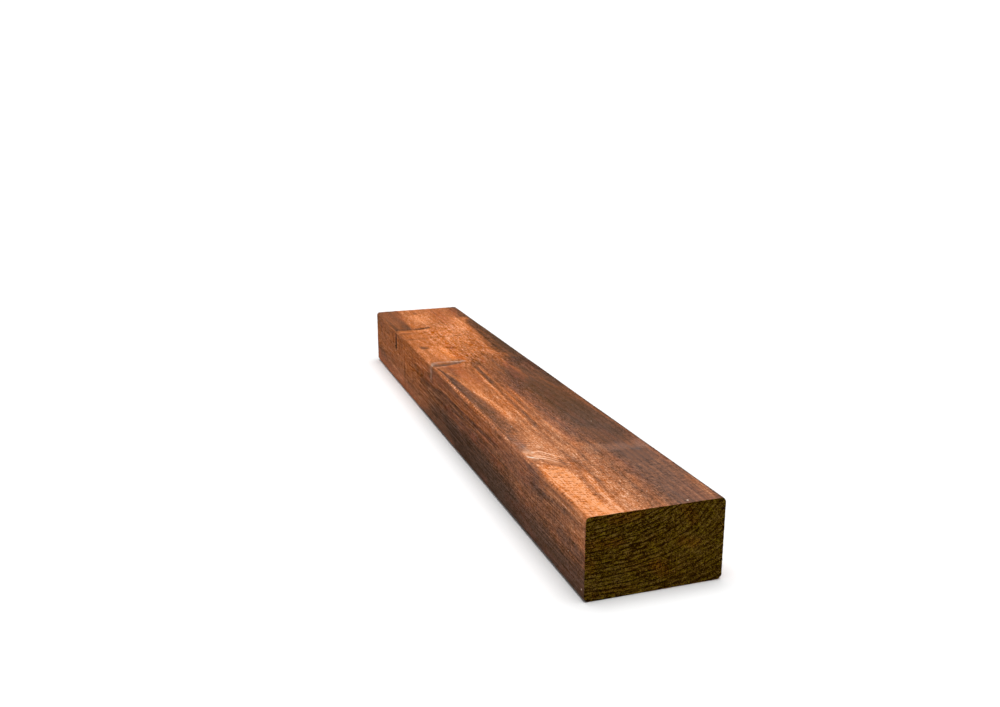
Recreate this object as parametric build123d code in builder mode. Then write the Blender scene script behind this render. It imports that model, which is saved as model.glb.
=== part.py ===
"""A short length of treated softwood batten: one piece of timber, machined on its four long faces.

The timber lies flat on its wide face. X runs along the grain, Y across the width, and Z up
through the thickness. The origin is the middle of the face that it lies on.
"""
import os

from build123d import *

# Section of the stock
width = 75.0
thickness = 44.0

# The radius that the planer leaves on each long edge, so that the timber is safe to handle
edge_radius = 2.5

# Length between the two square saw cuts
length = 467.0

# The timber: its section is drawn at one saw cut and drawn out along the grain to the other.
with BuildPart() as batten:
    with BuildSketch(Plane.YZ.offset(-length / 2)) as section:
        with Locations((0, thickness / 2)):
            RectangleRounded(width, thickness, edge_radius)
    extrude(amount=length)
batten.part.label = "batten"

os.makedirs("parts", exist_ok=True)
export_step(batten.part, "parts/batten.step")
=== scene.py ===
"""A short length of treated softwood batten, dressed as the real timber looks, on a plain studio floor.

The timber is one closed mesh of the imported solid's size. Its relief is cut into the mesh, and its
colours come from node materials that read values kept on the mesh's points.

Places on the timber are in millimetres. `along` runs from the far saw cut to the near one. `around`
runs round the section from the top front edge: over the top, down the back, under the bottom, and
down the front as negative values.
"""
import itertools
import math

import bpy
import numpy as np
from bpy.props import FloatProperty, FloatVectorProperty, IntProperty, PointerProperty
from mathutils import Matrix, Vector


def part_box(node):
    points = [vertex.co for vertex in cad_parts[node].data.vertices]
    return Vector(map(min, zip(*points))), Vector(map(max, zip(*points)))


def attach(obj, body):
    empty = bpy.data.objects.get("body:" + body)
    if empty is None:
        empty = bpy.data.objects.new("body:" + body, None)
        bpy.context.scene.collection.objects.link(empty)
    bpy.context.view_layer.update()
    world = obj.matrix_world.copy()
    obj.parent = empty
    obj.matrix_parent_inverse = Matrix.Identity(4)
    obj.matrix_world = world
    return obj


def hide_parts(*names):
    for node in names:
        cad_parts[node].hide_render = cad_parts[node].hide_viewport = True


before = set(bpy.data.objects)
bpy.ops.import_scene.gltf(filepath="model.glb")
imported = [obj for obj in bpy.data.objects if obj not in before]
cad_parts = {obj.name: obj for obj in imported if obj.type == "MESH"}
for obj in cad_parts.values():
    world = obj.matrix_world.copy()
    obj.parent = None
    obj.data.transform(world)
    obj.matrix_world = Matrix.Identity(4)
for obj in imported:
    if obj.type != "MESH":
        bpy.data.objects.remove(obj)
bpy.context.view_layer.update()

bl_info = {
    "name": "Treated softwood batten",
    "version": (1, 0, 0),
    "blender": (4, 5, 0),
    "location": "3D View > Sidebar > Batten",
    "description": "Makes the timber's surface and a plain studio stage for it",
    "category": "Add Mesh",
}

LOWEST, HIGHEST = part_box("batten")
MM = 0.001


# Properties

def distance(name, description, default):
    """A length that a user may change, in metres."""
    return FloatProperty(name=name, description=description, default=default, subtype="DISTANCE",
                         unit="LENGTH", min=0.0, precision=5)


def brightness(name, description, default):
    """A strength of light that a user may change."""
    return FloatProperty(name=name, description=description, default=default, min=0.0)


def colour(name, description, default):
    """A colour that a user may change, in linear red, green and blue."""
    return FloatVectorProperty(name=name, description=description, default=default, subtype="COLOR",
                               size=3, min=0.0, max=4.0)


class TimberSizes(bpy.types.PropertyGroup):
    """Sizes of the timber, its grain and its relief."""
    length: distance("Length", "Between the two saw cuts", HIGHEST[0] - LOWEST[0])
    width: distance("Width", "Across the wide faces", HIGHEST[1] - LOWEST[1])
    thickness: distance("Thickness", "Across the narrow faces", HIGHEST[2] - LOWEST[2])
    edge_radius: distance("Edge radius", "Easing of the four long edges", 0.0025)
    ring_spacing: distance("Ring spacing", "From one growth ring to the next", 0.00275)
    pith_across: distance("Pith beside the timber", "How far the pith lies in front of the middle", 0.043)
    pith_height: distance("Pith height", "How far the pith lies above the face it rests on", 0.172)
    ring_relief: distance("Ring relief", "How far soft early wood lies below the late wood", 0.00010)
    end_relief: distance("Saw cut relief", "How deep the torn fibres of the saw cuts are", 0.00055)
    steps_along: IntProperty(name="Steps along", description="Mesh rows along the timber",
                             default=284, min=20)


class TimberColours(bpy.types.PropertyGroup):
    """Colours of the stained timber."""
    # The deepest stain is also the painted shade in the drying slit and the far knot's groove
    deepest: colour("Deepest stain", "Dark lines and the bottoms of checks", (0.040, 0.022, 0.014))
    dark: colour("Dark stain", "Where the stain lies thick and greyish", (0.125, 0.064, 0.040))
    brown: colour("Brown", "Between the dark stain and the orange wood", (0.275, 0.098, 0.043))
    orange: colour("Orange", "Most of the wood", (0.47, 0.155, 0.056))
    bright: colour("Bright orange", "Early wood that took little stain", (0.68, 0.24, 0.088))
    light: colour("Lightest", "The palest early wood", (0.86, 0.38, 0.18))
    grey: colour("Grey bruise", "Weathered and bruised wood", (0.125, 0.098, 0.076))
    red: colour("Red tint", "Reddish patches in the stain", (0.52, 0.12, 0.062))
    # Also the colour of the painted highlight at the tip of the near knot's fan
    pale: colour("Rubbed", "Fibres rubbed pale", (0.79, 0.64, 0.51))
    end_deepest: colour("End grain, deepest", "The bottoms of the gaps", (0.0165, 0.0040, 0.0))
    end_dark: colour("End grain, dark", "Gaps between torn fibres", (0.039, 0.0110, 0.0))
    end_middle: colour("End grain", "Most of the end grain", (0.090, 0.0415, 0.0005))
    end_light: colour("End grain, light", "Fibre tips that catch the light", (0.30, 0.192, 0.048))
    end_olive: colour("End grain, olive tint", "Multiplies the end grain's olive flecks", (0.97, 1.0, 0.15))
    end_brown: colour("End grain, brown tint", "Multiplies the end grain's greyish brown flecks",
                      (1.0, 0.95, 1.0))


class StageSettings(bpy.types.PropertyGroup):
    """The floor, the light and the camera."""
    floor_size: distance("Floor size", "From one side of the floor to the other", 60.0)
    floor_colour: colour("Floor", "The plain pale floor", (0.94, 0.94, 0.94))
    overhead: brightness("Overhead light", "Strength of the soft light above", 2.95)
    horizon: brightness("Horizon", "Brightness of the pale surroundings", 1.05)
    ceiling: brightness("Ceiling", "Brightness of the surroundings overhead", 0.22)
    lens: FloatProperty(name="Lens", description="Focal length on a 36 mm wide sensor", default=35.0,
                        min=10.0, unit="CAMERA")


# Marks on the long faces

# A band runs along the timber: (amount, [(along, from around, to around, softness), ...]).
# A stroke is a straight smear: (from along, from around, to along, to around, reach along, reach
# around, core, amount). It holds its full amount within the core share of its reach, and fades to
# nothing at the whole reach.
# A line is thin and bent: (amount, half width, [(along, around), ...]) where it runs along the
# timber, and (amount, half width, [(around, along), ...]) where it runs across.
# Bands and lines fade in and out at their two ends, over these distances
BAND_FADE = 6
LINE_FADE = 8
CROSS_FADE = 2
# The share of a line's half width that holds its full amount
LINE_CORE = 0.15

# How light the wood is where no mark lies: 0 is the deepest stain and 1 the lightest wood
PLAIN_TONE = 0.66

# Bands that darken or lighten it
TONE_BANDS = [
    # Dark stain along the back edge, as far as the big dark patch
    (-0.36, [(-20, 66, 90, 5), (36, 65, 90, 5), (46, 69, 90, 4), (54, 72, 90, 4)]),
    (-0.42, [(48, 73, 90, 3), (60, 65, 90, 4), (90, 63.5, 90, 4), (120, 62, 90, 4), (150, 60, 90, 5),
             (174, 61, 90, 6)]),
    # The big dark patch
    (-0.37, [(168, 65, 90, 4), (180, 62, 90, 5), (190, 59, 90, 6), (205, 52, 90, 7), (235, 43, 90, 11),
             (262, 39, 90, 12), (300, 40, 90, 11), (350, 41, 90, 9), (400, 43, 90, 9), (490, 45, 90, 8)]),
    (-0.12, [(180, 62, 90, 5), (190, 64, 90, 5), (215, 68, 90, 6), (244, 76, 90, 4)]),
    # The brown wood in front of it
    (-0.15, [(158, 46, 47, 3), (180, 36, 54, 6), (205, 24, 56, 7), (235, 26, 50, 7), (262, 34, 44, 6),
             (284, 38, 40, 4)]),
    (-0.11, [(188, -3, 0, 2), (200, -3, 13, 3), (225, -3, 12, 3), (246, -3, 3, 3)]),
    # Darker wood at the far front corner
    (-0.27, [(-20, 0, 17, 2), (20, 0, 18, 1.8), (42, 0, 16, 1.6), (66, 0, 15.3, 1.4), (80, 0, 14, 1.4)]),
    # The lens of dark stain beside the front edge
    (-0.32, [(196, 2.4, 2.8, 0.7), (207, 2.4, 3.8, 0.8), (215, 2.2, 4.8, 0.8), (227, 2.0, 6.8, 0.9),
             (240, 1.8, 7.5, 0.9), (253, 1.6, 8.2, 1.2), (263, 1.4, 9.0, 1.8), (272, 1.2, 9.8, 2.2)]),
    (-0.26, [(266, 1.2, 9.4, 2.0), (275, 1.0, 10.4, 2.2), (283, 1.0, 11.8, 2.4), (300, 1.2, 12.0, 3.0),
             (320, 1.6, 10.5, 3.5), (348, 4, 8.5, 4)]),
    # The bright near front corner
    (0.34, [(390, 4.4, 5.8, 1), (396, 3.6, 8.4, 1.1), (402, 2.7, 12.6, 1.2), (408, 1.4, 15.6, 1.4),
            (418, 0.3, 16.4, 1.4), (430, 0.6, 15.8, 1.4), (445, 0.9, 14.8, 1.4), (456, 0.9, 16.0, 2),
            (490, 0.9, 17.5, 2.4)]),
    # The brighter rim of the dark patch
    (0.08, [(262, 68, 76, 3), (280, 70, 76, 3), (330, 72, 76, 2), (400, 70, 76, 4), (490, 62, 76, 8)]),
    # The back edge darker: a painted shade along it
    (-0.20, [(-20, 73.6, 81, 0.8), (490, 73.6, 81, 0.8)]),
    # The front face: a painted shade over all of it, and darker still towards the lower edge and the near
    # cut
    (-0.13, [(-20, -70, 0, 3), (490, -70, 0, 3)]),
    (-0.25, [(150, -70, -44, 4), (185, -70, -34, 8), (225, -70, -24, 8), (290, -70, -22, 7),
             (350, -70, -25, 7), (490, -70, -27, 7)]),
    (-0.13, [(150, -24, -14, 5), (185, -30, -8, 5), (225, -30, -9, 4), (300, -70, -11, 6),
             (400, -70, -8, 5), (490, -70, -20, 6)]),
]

# Broad soft strokes that darken or lighten it
STAINS = [
    # Top: the far third
    (-5, 38, 14, 36, 10, 10, 0.3, -0.06),
    (0, 21, 20, 21, 14, 6, 0.3, -0.05),
    (4, 37, 46, 38, 18, 6, 0.3, 0.06),
    (0, 62, 50, 62, 16, 5, 0.3, -0.06),
    (12, 53, 46, 52, 20, 9, 0.3, -0.05),
    (15, 4, 45, 4, 20, 6, 0.3, 0.03),
    (30, 28, 50, 30, 16, 8, 0.2, 0.17),
    (36, 71, 52, 71, 14, 4, 0.3, 0.06),
    (54, 58, 80, 56, 20, 9, 0.2, 0.15),
    (64, 12, 84, 12, 9, 7, 0.3, -0.09),
    (66, 38, 82, 37, 14, 6, 0.3, -0.07),
    (0, 38, 150, 38, 60, 45, 0.3, 0.05),
    (87, 3, 89, 8.4, 5, 3.5, 0.4, -0.15),
    (86, 40, 125, 36, 25, 20, 0.2, 0.08),
    (112, 36, 119, 36.4, 7, 3, 0.4, 0.09),
    (120, 37, 144, 37, 16, 6, 0.3, -0.05),
    (130, 41, 139, 40.5, 8, 3, 0.4, -0.09),
    (120, 59, 190, 57.5, 12, 3.2, 0.4, -0.11),
    (150, 22, 170, 22, 14, 5, 0.3, 0.05),
    (150, 37, 170, 37, 14, 5, 0.3, -0.07),
    (146, 17, 176, 19, 22, 11, 0.3, 0.14),
    (150, 21, 172, 21, 14, 5, 0.3, 0.04),
    (145, 4, 178, 3, 14, 5, 0.3, 0.08),
    (152, 62, 190, 62, 14, 6, 0.3, -0.09),
    (126, 71, 226, 71, 18, 4, 0.3, -0.05),
    # Top: the middle
    (178, 31.6, 184, 32.4, 6, 3, 0.4, -0.11),
    (182, 2.8, 186, 2.8, 4, 2.4, 0.4, -0.09),
    (180, 12, 200, 12, 12, 5, 0.3, -0.08),
    (180, 46, 200, 46, 14, 5, 0.3, -0.07),
    (182, 71, 200, 71, 14, 4, 0.3, 0.03),
    (180, 46, 230, 46, 14, 4, 0.3, -0.04),
    (214, 56.6, 221, 56.2, 7, 3, 0.4, 0.10),
    (206, 12, 232, 12, 12, 6, 0.3, -0.04),
    (180, 21, 262, 19, 14, 6, 0.3, -0.05),
    (208, 54, 234, 54, 14, 5, 0.3, 0.09),
    (221, 40, 229, 40, 7, 3, 0.4, -0.09),
    (236, 1, 252, 1.4, 8, 2.2, 0.4, -0.12),
    (236, 71, 256, 71, 14, 4, 0.3, -0.06),
    (238, 29, 262, 29, 12, 4, 0.3, -0.05),
    (240, 29, 262, 29, 14, 4, 0.3, -0.03),
    (236, 13, 270, 14, 14, 4, 0.3, 0.06),
    (236, 12, 290, 13, 16, 4, 0.3, 0.04),
    (240, 62, 290, 62, 18, 6, 0.3, 0.04),
    (263, 43.5, 269, 43, 8, 3, 0.4, 0.11),
    (266, 13, 316, 15, 12, 3.4, 0.3, 0.15),
    (262, 20, 320, 19, 30, 6, 0.3, 0.03),
    (255, 41, 345, 40, 24, 6, 0.3, -0.05),
    (298, 18, 305, 18, 6, 2.4, 0.4, 0.10),
    (296, 29, 320, 29, 14, 4, 0.3, -0.04),
    (270, 60, 360, 60, 30, 15, 0.3, -0.06),
    (304, 32.2, 330, 32.3, 8, 2.4, 0.4, -0.10),
    (285, 27, 350, 26, 24, 8, 0.3, -0.04),
    (315, 8.4, 322, 8, 7, 2.6, 0.4, 0.10),
    (296, 37, 346, 37, 18, 5, 0.3, -0.04),
    (329, 22.2, 336, 22.2, 6, 2.4, 0.4, -0.11),
    (331, 6.4, 341, 7.6, 6, 2.6, 0.4, 0.08),
    (326, 13, 348, 13, 14, 5, 0.3, -0.06),
    (324, 54, 352, 68, 12, 6, 0.3, 0.03),
    (330, 4, 352, 5, 14, 7, 0.3, -0.05),
    (331, 0.8, 354, 1.6, 8, 2.4, 0.4, -0.13),
    # Top: the near third
    (347, 5, 361, 5, 7, 4.5, 0.4, -0.06),
    (352, 4, 370, 3.5, 8, 4, 0.4, -0.04),
    (355, 15, 378, 18, 12, 6, 0.3, 0.08),
    (355, 50, 378, 66, 10, 8, 0.3, 0.05),
    (358, 13, 376, 13, 12, 6, 0.3, 0.04),
    (356, 54, 378, 54, 16, 6, 0.3, 0.06),
    (370, 11.5, 378, 4.5, 5, 4, 0.4, 0.17),
    (373, 34.5, 379, 38, 5, 3, 0.3, 0.12),
    (378, 29.5, 384, 29, 6, 3, 0.4, 0.10),
    (379, 3.2, 386.5, 1.8, 4, 2.4, 0.4, 0.12),
    (384, 5, 398, 15, 8, 5, 0.3, 0.08),
    (380, 46, 410, 46, 14, 5, 0.3, 0.06),
    (398, 38.6, 403, 38.6, 7, 3, 0.4, 0.09),
    (360, 39, 445, 38, 24, 6, 0.3, -0.09),
    (417, 15.6, 430, 15.2, 5, 2.6, 0.4, 0.12),
    (431, 42.6, 434, 42.6, 6, 3, 0.3, 0.10),
    (430, 27, 437, 26.8, 6, 2.4, 0.4, 0.10),
    (404, 62, 475, 60, 24, 17, 0.3, 0.07),
    (410, 54, 470, 62, 14, 6, 0.3, 0.03),
    (418, 21, 470, 21, 14, 5, 0.3, 0.06),
    (425, 29, 475, 28, 20, 5, 0.3, 0.08),
    (443, 70.4, 462, 69.4, 8, 3.5, 0.4, 0.12),
    (459, 35.6, 466, 35.2, 6, 3, 0.4, -0.10),
    (446, 25, 480, 24, 12, 8, 0.3, 0.09),
    (452, 15, 480, 20, 9, 6, 0.3, 0.10),
    # Front
    (0, -5, 20, -5, 16, 6, 0.3, -0.05),
    (0, -33, 25, -33, 16, 6, 0.3, -0.11),
    (-10, -4, 60, -20, 20, 14, 0.3, -0.03),
    (4, -33, 80, -33, 30, 6, 0.3, -0.04),
    (64, -4, 84, -4, 10, 5, 0.3, -0.04),
    (120, -11, 172, -11, 18, 5, 0.3, -0.05),
    (124, -33, 196, -33, 20, 6, 0.3, -0.03),
    (120, -33, 200, -33, 18, 6, 0.3, -0.06),
    (163, -3.9, 170, -3.9, 6, 2.6, 0.4, 0.09),
    (194, -5.6, 224, -6.8, 10, 3, 0.4, -0.09),
    (180, -28, 262, -36, 20, 7, 0.3, -0.03),
    (180, -18, 262, -18, 18, 5, 0.3, -0.07),
    (180, -4, 290, -4, 20, 4, 0.3, -0.04),
    (240, -4, 262, -4, 14, 4, 0.3, -0.05),
    (236, -2, 290, -2, 14, 4, 0.3, -0.06),
    (289, -2.4, 298, -2.4, 6, 2, 0.4, 0.10),
    (290, -18.8, 325, -19.6, 10, 4, 0.4, -0.08),
    (268, -18, 348, -18, 18, 5, 0.3, -0.03),
    (326, -3, 350, -3, 14, 4, 0.3, -0.05),
    (300, -11, 405, -11, 20, 5, 0.3, -0.06),
    (396, -5.9, 402, -6, 6, 3, 0.4, -0.10),
    (418, -14, 425, -14, 6, 3, 0.4, 0.08),
    (385, -27, 475, -27, 20, 8, 0.3, 0.05),
    (390, -36, 475, -36, 20, 6, 0.3, 0.05),
    (395, -3, 480, -3, 16, 3.5, 0.4, 0.05),
    (426, -27.5, 450, -28, 8, 3.5, 0.4, 0.08),
    (405, -10, 480, -10, 20, 8, 0.3, -0.035),
    (444, -8, 456, -8, 6, 4, 0.4, -0.10),
    (440, -21.8, 464, -22.3, 8, 4, 0.4, -0.11),
    (457, -1.2, 467, -1.6, 5, 2, 0.4, 0.15),
    (455, -9, 475, -22, 14, 7, 0.3, 0.09),
    # Hidden faces: stain and grain like the ones that show
    (40, 97, 190, 96, 50, 16, 0.3, 0.10),
    (60, 136, 230, 140, 60, 12, 0.3, -0.26),
    (150, 120, 330, 119, 40, 5, 0.3, -0.20),
    (200, 165, 400, 168, 60, 16, 0.3, 0.12),
    (270, 104, 480, 106, 110, 14, 0.2, -0.26),
]

# Lines that run along the timber
GRAIN_LINES = [
    # Top: the bright lines of the middle, and the brown ones between them
    (0.24, 1.1, [(190, 26.8), (209, 26.9), (237, 26.0), (264, 25.0), (290, 23.9), (324, 22.7),
                 (352, 21.6)]),
    (0.20, 1.0, [(196, 32.6), (214, 31.8), (240, 31.0), (263, 30.6), (289, 29.2), (318, 28.2),
                 (344, 27.0)]),
    (0.20, 1.1, [(252, 35.2), (274, 34.8), (291, 33.7), (310, 33.2), (330, 32.7), (346, 32.6),
                 (364, 33.8)]),
    (0.12, 1.0, [(164, 43.0), (184, 41.4), (208, 38.6)]),
    (-0.15, 1.7, [(186, 31.2), (215, 29.5), (231, 28.6), (252, 27.6), (278, 27.0), (303, 26.6),
                  (344, 25.0)]),
    (-0.08, 1.5, [(158, 39.0), (190, 36.4), (215, 34.6), (240, 33.2), (300, 31.2)]),
    (-0.08, 1.4, [(150, 33.5), (180, 33.8), (196, 29.4), (215, 23.6)]),
    (0.07, 1.0, [(192, 20.8), (221, 18.5), (234, 17.4), (256, 16.7)]),
    (-0.08, 1.6, [(244, 22.2), (262, 20.4), (288, 18.2)]),
    # Top: the bright rim of the lens
    (0.13, 1.5, [(206, 5.2), (215, 6.2), (227, 8.2), (240, 9.0), (253, 9.8), (265, 11.0), (275, 13.0),
                 (283, 14.8), (298, 16.0), (330, 16.6)]),
    # Top: beside the back edge
    (0.10, 1.4, [(188, 52.0), (208, 55.1), (222, 56.4), (242, 56.8)]),
    (0.09, 2.2, [(238, 61.5), (257, 65.5), (268, 66.8), (280, 68.6), (302, 70), (345, 71)]),
    (0.05, 1.1, [(252, 57.0), (266, 61.6), (279, 64.4), (292, 66.3), (308, 69)]),
    (0.12, 1.3, [(36, 61.8), (48, 60.4), (62, 59.4)]),
    (-0.12, 1.2, [(60, 66.5), (90, 65.2), (120, 63.8), (158, 61.5)]),
    (0.10, 1.0, [(90, 68.2), (130, 66.6), (176, 65.4)]),
    # Top: behind the near knot
    (0.10, 1.1, [(322, 19.0), (337, 18.2), (349, 17.4), (364, 16.8)]),
    (-0.12, 1.2, [(328, 24.6), (348, 24.0), (359, 23.8), (372, 23.2)]),
    (0.09, 1.0, [(346, 25.6), (359, 25.8), (368, 26.1), (384, 26.8)]),
    (-0.20, 1.1, [(363, 30.4), (371, 31.0), (378, 31.6), (386, 32.2), (394, 31.4), (404, 29.6)]),
    (0.10, 1.2, [(376, 28.4), (388, 29.2), (400, 28.2)]),
    # Top: the dark streak that forks, and the bright line in the fork
    (-0.14, 1.9, [(374, 23.2), (385, 23.2), (393, 24.6), (402, 25.2), (413, 25.6), (421, 25.0), (433, 23.6),
                  (444, 22.8), (455, 21.8), (490, 20.2)]),
    (-0.07, 1.8, [(398, 24.2), (406, 22.6), (412, 20.6), (422, 18), (432, 16.6), (442, 15.2), (464, 13)]),
    (0.17, 2.4, [(410, 22.7), (420, 22.1), (434, 20.4), (446, 19.4), (454, 18.8), (490, 17.4)]),
    (-0.08, 1.3, [(432, 38.6), (450, 37.4), (476, 35.6)]),
    # The front edge: its bright lines are a painted highlight along the edge
    (0.08, 1.3, [(196, -0.2), (304, -0.2)]),
    (0.12, 1.1, [(256, 0.6), (312, 0.6)]),
    (0.03, 1.0, [(312, 0.6), (350, 0.8), (386, 0.4)]),
    (-0.20, 1.7, [(378, 0.2), (390, 0.1), (400, 0), (414, 0)]),
    (-0.12, 0.9, [(392, -2.2), (410, -3.0), (430, -2.8), (446, -2.0), (462, -1.8)]),
    # Front: lines of the grain
    (0.14, 1.0, [(193, -13.0), (206, -11.4), (223, -10.2), (254, -9.6), (284, -9.3), (312, -8.2)]),
    (-0.18, 1.5, [(197, -15.0), (206, -13.8), (225, -12.2), (250, -11.9), (290, -11.4), (340, -10.2)]),
    (0.11, 0.9, [(141, -27.8), (173, -26.2), (198, -23.6), (228, -20.6)]),
    (0.13, 0.9, [(240, -19.6), (262, -17.4), (283, -15.0), (304, -13.7), (330, -12.8)]),
    (-0.10, 1.1, [(240, -17.6), (270, -14.6), (304, -12.4)]),
    (0.10, 0.9, [(290, -19.6), (302, -19.2), (327, -18.3), (356, -18.6)]),
    (-0.08, 1.1, [(196, -20.8), (260, -19.8), (350, -16.4)]),
    (0.08, 0.9, [(318, -3.1), (344, -3.7)]),
    (0.10, 0.9, [(364, -10.2), (383, -10.3), (401, -11.0)]),
    (-0.12, 1.3, [(355, -6.4), (372, -6.1), (396, -6.2)]),
    (0.12, 0.9, [(104, -12.4), (140, -10.4), (182, -7.2)]),
    (0.12, 0.9, [(100, -20.4), (124, -18.4), (144, -16.2)]),
    (0.10, 1.1, [(106, -25.2), (135, -26.6)]),
    (-0.10, 1.2, [(140, -19.6), (170, -17.4), (204, -14.8)]),
    (-0.08, 1.2, [(76, -30.4), (110, -28.4), (146, -26.2)]),
    (0.08, 1.2, [(14, -24.4), (40, -23.2), (72, -21.8)]),
    (0.10, 1.6, [(18, -13.4), (40, -11.6), (66, -9.4)]),
    (0.13, 1.0, [(414, -6.6), (424, -5.6), (436, -4.5), (449, -4.2), (490, -4.1)]),
    (-0.12, 1.2, [(386, -8.8), (396, -10.4), (414, -9.2), (446, -7.4)]),
    (-0.10, 0.8, [(363, -16.3), (398, -16.0)]),
]

# Lines that run across the timber
CROSS_LINES = [
    # The groove at the far knot, painted shade along it and darkest in its middle, and the ridge beside it
    (-0.11, 3.2, [(-2, 71), (6.5, 74), (15.3, 75.5), (20.8, 75), (26.4, 73.6), (33, 70.6)]),
    (-0.46, 3.4, [(15.5, 75.4), (21, 75), (26.4, 73.6), (31.5, 71.4)]),
    (0.15, 3.6, [(-1, 84), (10.6, 83.2), (19.5, 81), (29, 80)]),
    (-0.15, 2.8, [(0, 109), (17.3, 109), (25, 108), (35, 107), (48, 108)]),
    # The bruised band at the middle knot
    (-0.34, 3.6, [(1.5, 190.6), (5.2, 190.6), (10.8, 190.8), (14, 189.2), (18, 187.8), (24, 187.4)]),
    (0.10, 2.4, [(1.0, 195.4), (6.2, 195.4), (12, 194.6), (18, 192.6)]),
    (-0.16, 2.6, [(-14, 192), (-6, 191.6), (0, 191)]),
    # The near knot's fan: the yellow arc, the dark wood under it and its paler strands
    (0.42, 2.2, [(6, 379), (8.4, 378.2), (10.9, 378), (12.7, 380.1), (14.3, 382.7), (15.9, 385.3),
                 (17.8, 387.9), (19.4, 391), (21, 395)]),
    (-0.12, 1.0, [(1, 380.4), (2.6, 380.7), (5.6, 381.6)]),
    (0.15, 2.4, [(6.6, 381.4), (8.6, 381), (11, 381.8), (13, 384.2), (15, 387)]),
    (0.24, 1.9, [(4.6, 384), (6.9, 384.5), (9.9, 385.8), (12.5, 388.3), (14.4, 390.9), (17, 395)]),
    (0.24, 2.0, [(2.4, 386.4), (6.9, 387.7), (10, 389.2), (12, 392.3), (13.7, 395.3), (15.4, 398)]),
    (-0.15, 2.4, [(-1, 392.2), (1.7, 393.7), (7.3, 397), (13, 401.3), (17, 406)]),
    # Front: the drying slit at the far knot, darkened inside as painted shade, and the paler wood beside it
    (-0.55, 3.8, [(-17.0, 74.0), (-13.0, 74.3), (-8.0, 75), (-3.4, 75.6), (-1.8, 75.6)]),
    (0.10, 2.6, [(-19, 81), (-3, 81.4)]),
    (-0.10, 3.0, [(-38, 104), (-12, 104)]),
]

# Small strokes and spots, which keep their places more exactly than the broad ones
SPOTS = [
    (38, 70, 43, 63, 4, 3, 0.3, -0.10),
    (10, 48.5, 28, 48, 12, 1.5, 0.3, -0.10),
    (16, 31, 19, 30.5, 4, 2.5, 0.3, -0.14),
    (105.5, 48, 106, 22, 4, 5, 0.2, -0.04),
    (138, 6.6, 138, 10.4, 6.0, 2.4, 0.3, -0.24),
    (143.5, 27.2, 144, 29.4, 6.0, 3.4, 0.2, -0.32),
    (365, 6.4, 368, 6.2, 3.5, 1.8, 0.3, -0.10),
    (180, 5, 186, 4, 6, 4, 0.3, -0.06),
    # A painted shadow beside the near knot's fan
    (395, 17, 400, 17, 3.2, 1.8, 0.3, -0.24),
    (396, 21.0, 398, 22.6, 3, 1.6, 0.3, -0.18),
    (240, 28.2, 244, 28.0, 4, 1.6, 0.3, -0.12),
    # A painted highlight on the front edge beside the fan's bright tip
    (386.5, 0, 389, -0.4, 3, 1.2, 0.4, 0.26),
    (383, 7, 391, 14, 5, 4.5, 0.2, 0.08),
    (392, 6, 399, 6.4, 6, 4, 0.4, -0.20),
    (391, 1.2, 397, 2, 4, 2.2, 0.4, 0.10),
    # The hazy band across the dark patch: a painted sheen, lighter and greyer
    (386, 74, 386, 52, 6.5, 5, 0.3, 0.08),
    (384, 74, 385, 40, 8.5, 6, 0.4, 0.06),
    # Front
    (64, -15, 66, -20, 5, 3, 0.3, 0.05),
    (17, -10, 20, -18, 4, 4, 0.3, -0.08),
    (50, -25.5, 52, -25.5, 4, 2, 0.3, -0.12),
    (68, -33, 92, -36, 10, 2, 0.3, 0.08),
    (143, -12.4, 147, -15.4, 5, 3.4, 0.3, -0.13),
    (182, -6.5, 183, -9.5, 4, 3, 0.3, -0.10),
    (387, -2.2, 404, -3.4, 5, 2.2, 0.4, -0.18),
    (372, -20.5, 378, -20.5, 4, 1.8, 0.4, 0.10),
    # Hidden faces: knots
    (182, 92, 186, 92, 6, 5, 0.3, -0.34),
    (300, 150, 306, 150, 8, 6, 0.3, -0.34),
    (92, 176, 96, 176, 6, 5, 0.3, -0.30),
]

# Where the wood is bruised and grey
GREY_MARKS = [
    (60, 76, 180, 76, 30, 8, 0.3, 0.50),
    (275, 58, 340, 58, 40, 16, 0.3, 0.30),
    (216, 4.2, 250, 4.6, 16, 3.0, 0.4, 0.15),
    (262, 6.0, 312, 7.0, 20, 6.5, 0.4, 0.28),
    (187, 24, 189, 2, 6, 3, 0.5, 1.0),
    (186.5, 0, 188, -12, 5, 3, 0.4, 0.55),
    (352, 4, 374, 4, 8, 5, 0.3, 0.50),
    (370, 4, 377, 6, 7, 5, 0.3, 0.35),
    (138, 6.6, 138, 10.4, 5, 3, 0.3, 0.45),
    # The painted sheen across the dark patch, greyer
    (386, 74, 386, 52, 6.5, 5, 0.3, 0.45),
    (330, -40, 480, -40, 60, 16, 0.3, 0.25),
    (387, -3, 404, -3.4, 8, 3, 0.3, 0.20),
    (398, 25, 412, 21, 8, 3, 0.3, 0.35),
    (270, 104, 480, 106, 110, 14, 0.2, 0.28),
    (60, 136, 230, 140, 60, 12, 0.3, 0.30),
]

# Where the stain is reddish
RED_MARKS = [
    (12, 66, 36, 62, 14, 7, 0.3, 0.50),
    (12, 50, 46, 50, 22, 10, 0.3, 0.45),
    (8, 16, 40, 16, 14, 3, 0.3, 0.40),
    (141, 28.8, 148, 28.8, 12, 4, 0.3, 0.6),
    (168, 27, 178, 26.5, 10, 4.5, 0.3, 0.8),
    (185, 41.5, 194, 39.8, 8, 2, 0.3, 0.7),
    (196, 20, 206, 18, 10, 6, 0.3, 0.50),
    (196, 12, 236, 20, 12, 8, 0.3, 0.45),
    (205, 54, 240, 50, 20, 6, 0.3, 0.40),
    (250, 40, 345, 38, 40, 8, 0.3, 0.25),
    (20, -38, 120, -40, 40, 7, 0.3, 0.45),
    (4, -30, 8, -38, 6, 8, 0.3, 0.60),
    (170, -8, 380, -5, 40, 12, 0.3, 0.30),
    (240, -21, 330, -20, 30, 5, 0.3, 0.35),
]
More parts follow.
